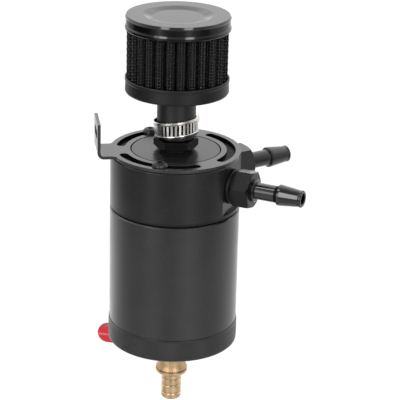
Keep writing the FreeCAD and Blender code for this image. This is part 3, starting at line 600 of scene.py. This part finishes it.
def walk_pleats(pitch, inset):
    """Even steps along the pleats' outline: places and outward normals, an even number of each."""
    path = [polar(*pleat_point(i / PATH_STEPS, inset)) for i in range(PLEATS * PATH_STEPS + 1)]
    reached = [0.0]
    for first, second in zip(path, path[1:]):
        reached.append(reached[-1] + (second - first).length)
    count = 2 * round(reached[-1] / pitch / 2)
    places = []
    at = 0
    for k in range(count):
        due = reached[-1] * k / count
        while reached[at + 1] < due:
            at += 1
        along = (path[at + 1] - path[at]).normalized()
        share = (due - reached[at]) / (reached[at + 1] - reached[at])
        places.append((path[at].lerp(path[at + 1], share), Vector((along.y, -along.x, 0))))
    return places


def gauze_rings(places, rows, material):
    """Level wires that follow the pleats round, one closed tube of square section to a row."""
    count = len(places)
    points = []
    faces = []
    for row, z in enumerate(rows):
        base = len(points)
        for k, (place, out) in enumerate(places):
            middle = place + out * (GAUZE_WEAVE if (k + row) % 2 else -GAUZE_WEAVE) + UP * z
            for way in (out, UP, -out, -UP):
                points.append(middle + way * GAUZE_HALF)
        for k in range(count):
            here, ahead = base + 4 * k, base + 4 * ((k + 1) % count)
            for side in range(4):
                turn = (side + 1) % 4
                faces.append((here + side, here + turn, ahead + turn, ahead + side))
    new_piece("gauze_rings", points, faces, material, "head")


def gauze_uprights(places, rows, material):
    """Upright wires, one open tube of square section to a place."""
    points = []
    faces = []
    for k, (place, out) in enumerate(places):
        across = Vector((-out.y, out.x, 0))
        base = len(points)
        for row, z in enumerate(rows):
            middle = place + out * (-GAUZE_WEAVE if (k + row) % 2 else GAUZE_WEAVE) + UP * z
            for way in (out, across, -out, -across):
                points.append(middle + way * GAUZE_HALF)
        for row in range(len(rows) - 1):
            for side in range(4):
                a, b = base + 4 * row + side, base + 4 * row + (side + 1) % 4
                faces.append((a, b, b + 4, a + 4))
    new_piece("gauze_uprights", points, faces, material, "head")


def wire_gauze():
    """Woven square gauze laid over every pleat: level rings and upright wires that cross in turn."""
    places = walk_pleats(GAUZE_PITCH, GAUZE_HALF + GAUZE_WEAVE)
    count = int((MEDIA_HIGH - MEDIA_LOW - 2 * GAUZE_MARGIN) / GAUZE_PITCH)
    rows = [MEDIA_LOW + GAUZE_MARGIN + GAUZE_PITCH * k for k in range(count + 1)]
    coating = cloudy("gauze_coating", (0.017, 0.017, 0.0175), 0.2, spread=0.25, cloud=500.0).material
    gauze_rings(places, rows, coating)
    gauze_uprights(places, rows, coating)


knurl()
media_cloth()
wire_gauze()


# ---------------------------------------------------------------- floor, light, camera

BACK = Vector((LOOK_ALONG.x, LOOK_ALONG.y, 0)).normalized()
BACK_DEG = math.degrees(math.atan2(BACK.y, BACK.x))

# brightness that polished faces find round the studio, by the angle from the camera's side, positive
# towards the camera's right: on the floor close to the object and half a metre away, and in the sky
STUDIO_NEAR = ((-180, 1.38), (-125, 1.5), (-105, 1.15), (-90, 0.85), (-77, 0.7), (-60, 0.68), (-33, 1.0),
               (-5, 0.68), (26, 1.2), (57, 0.75), (77, 0.82), (90, 0.95), (105, 1.1), (125, 1.15),
               (180, 1.38))
STUDIO_FAR = ((-180, 1.15), (-165, 1.5), (-150, 0.8), (-125, 0.42), (-112, 0.32), (-109, 0.05),
              (-90, 0.03), (-66, 0.04), (-50, 0.3), (-38, 1.1), (-28, 0.4), (-8, 0.2), (14, 0.35),
              (24, 1.1), (34, 0.5), (52, 0.2), (70, 0.12), (73, 0.36), (85, 0.5), (97, 0.6), (180, 1.15))
STUDIO_SKY = ((-180, 1.4), (-105, 1.4), (-90, 0.8), (-60, 0.5), (60, 0.5), (90, 0.8), (105, 1.4),
              (180, 1.4))
STUDIO_TOP = 1.5

# the floor goes from the near brightness to the far one between these distances from the can's axis
NEAR_R = 0.2
FAR_R = 0.5
FLOOR_REACH = 6.0

# the floor that the camera sees: its glow, and the glow's share beside the lit paint
FLOOR_GLOW = 1.1
FLOOR_GLOW_SHARE = 0.88

# the sky that matt faces find, and what is added to it for the camera
SKY_LIGHT = 0.45
SKY_SEEN_MORE = 0.55

# soft boxes: angle from the camera's side, angle above the horizon, distance, width, height, radiance
LAMPS = {
    "left_box": (-32, 24, 0.85, 0.22, 0.8, 6.5),
    "left_wing": (-46, 14, 0.86, 0.16, 0.45, 3.0),
    "right_box": (27, 24, 0.85, 0.24, 0.8, 6.5),
    "high_box": (-80, 63, 0.85, 0.24, 0.2, 6.5),
}


def compass(s, where):
    """Angle round the object from the camera's side, as a share of a turn."""
    turned = s.node("ShaderNodeVectorRotate", rotation_type="Z_AXIS")
    turned.inputs["Angle"].default_value = math.radians(180 - BACK_DEG)
    s.link(where, turned.inputs["Vector"])
    gradient = s.node("ShaderNodeTexGradient", gradient_type="RADIAL")
    s.link(turned.outputs[0], gradient.inputs[0])
    return gradient.outputs["Fac"]


def studio_ramp(s, angle, stops):
    """Brightness by the angle round the object, from stops in degrees."""
    ramp = s.node("ShaderNodeValToRGB")
    s.link(angle, ramp.inputs["Fac"])
    elements = ramp.color_ramp.elements
    for deg, value in stops:
        at = (deg + 180) / 360
        share = value / STUDIO_TOP
        element = elements[0] if at == 0 else elements[-1] if at == 1 else elements.new(at)
        element.color = (share, share, share, 1)
    return s.maths("MULTIPLY", ramp.outputs["Color"], STUDIO_TOP)


def seen_share(s):
    """1 for rays straight from the camera, and 1 for rays that a polished or clear face sends on."""
    path = s.node("ShaderNodeLightPath")
    mirrored = s.maths("MAXIMUM", path.outputs["Is Glossy Ray"], path.outputs["Is Transmission Ray"])
    return path.outputs["Is Camera Ray"], mirrored


def make_floor():
    """Pale floor; polished faces find the studio's lights and darks on it."""
    low = CAD_BOX[0].z
    mesh = bpy.data.meshes.new("floor")
    corners = [(x * FLOOR_REACH, y * FLOOR_REACH, low) for x, y in ((-1, -1), (1, -1), (1, 1), (-1, 1))]
    mesh.from_pydata(corners, [], [(0, 1, 2, 3)])
    floor = bpy.data.objects.new("floor", mesh)
    bpy.context.scene.collection.objects.link(floor)
    s = Shader("studio_floor")
    s.set(Roughness=0.9, Base_Color=(0.86, 0.86, 0.86, 1))
    camera, mirrored = seen_share(s)
    glow = s.node("ShaderNodeEmission")
    from_axis = s.vector("SUBTRACT", s.place(), Vector((AXIS.x, AXIS.y, low)))
    angle = compass(s, from_axis)
    away = s.span(s.vector("LENGTH", from_axis), NEAR_R, FAR_R, 0, 1)
    around = s.mix("FLOAT", away, studio_ramp(s, angle, STUDIO_NEAR), studio_ramp(s, angle, STUDIO_FAR))
    s.link(s.mix("FLOAT", mirrored, FLOOR_GLOW, around), glow.inputs["Strength"])
    share = s.maths("MAXIMUM", s.maths("MULTIPLY", camera, FLOOR_GLOW_SHARE), mirrored)
    mixed = s.node("ShaderNodeMixShader")
    s.link(share, mixed.inputs["Fac"])
    s.link(s.shader.outputs[0], mixed.inputs[1])
    s.link(glow.outputs[0], mixed.inputs[2])
    s.link(mixed.outputs[0], s.tree.nodes["Material Output"].inputs["Surface"])
    mesh.materials.append(s.material)


class Sky(Shader):
    """The world's nodes, with the same short calls."""

    def __init__(self):
        world = bpy.data.worlds.new("studio")
        world.use_nodes = True
        bpy.context.scene.world = world
        self.tree = world.node_tree


def make_sky():
    """Even sky; polished faces find it by the angle, brighter on high and dim overhead."""
    s = Sky()
    direction = s.node("ShaderNodeTexCoord").outputs["Generated"]
    around = studio_ramp(s, compass(s, direction), STUDIO_SKY)
    height = s.parts(direction)["Z"]
    overhead = s.span(height, 0.75, 1.0, 1.0, 0.4)
    raised = s.span(height, 0.39, 0.45, 1.0, 1.5)
    sky = s.maths("MULTIPLY", around, s.maths("MULTIPLY", overhead, raised))
    camera, mirrored = seen_share(s)
    plain = s.maths("ADD", s.maths("MULTIPLY", camera, SKY_SEEN_MORE), SKY_LIGHT)
    background = s.tree.nodes["Background"]
    background.inputs["Color"].default_value = (1, 1, 1, 1)
    s.link(s.mix("FLOAT", mirrored, plain, sky), background.inputs["Strength"])


def make_lamp(name, side_deg, rise_deg, distance, width, height, radiance):
    """Soft box that faces the can's axis."""
    rise = math.radians(rise_deg)
    way = level_line(BACK_DEG + 180 + side_deg) * math.cos(rise) + UP * math.sin(rise)
    lamp = bpy.data.lights.new(name, "AREA")
    lamp.shape = "RECTANGLE"
    lamp.size = width
    lamp.size_y = height
    lamp.energy = radiance * math.pi * width * height
    holder = bpy.data.objects.new(name, lamp)
    holder.location = AXIS + way * distance
    holder.rotation_mode = "QUATERNION"
    holder.rotation_quaternion = (-way).to_track_quat("-Z", "Y")
    bpy.context.scene.collection.objects.link(holder)


def make_camera():
    data = bpy.data.cameras.new("camera")
    data.sensor_width = SENSOR_MM
    data.lens = LENS_MM
    camera = bpy.data.objects.new("camera", data)
    camera.location = LOOK_AT - LOOK_ALONG * CAMERA_DISTANCE
    camera.rotation_mode = "QUATERNION"
    level = LOOK_ALONG.to_track_quat("-Z", "Y")
    camera.rotation_quaternion = level @ Quaternion((0, 0, 1), math.radians(CAMERA_ROLL_DEG))
    bpy.context.scene.collection.objects.link(camera)
    bpy.context.scene.camera = camera


make_floor()
make_sky()
for name, settings in LAMPS.items():
    make_lamp(name, *settings)
make_camera()
bpy.context.scene.view_settings.view_transform = "Standard"
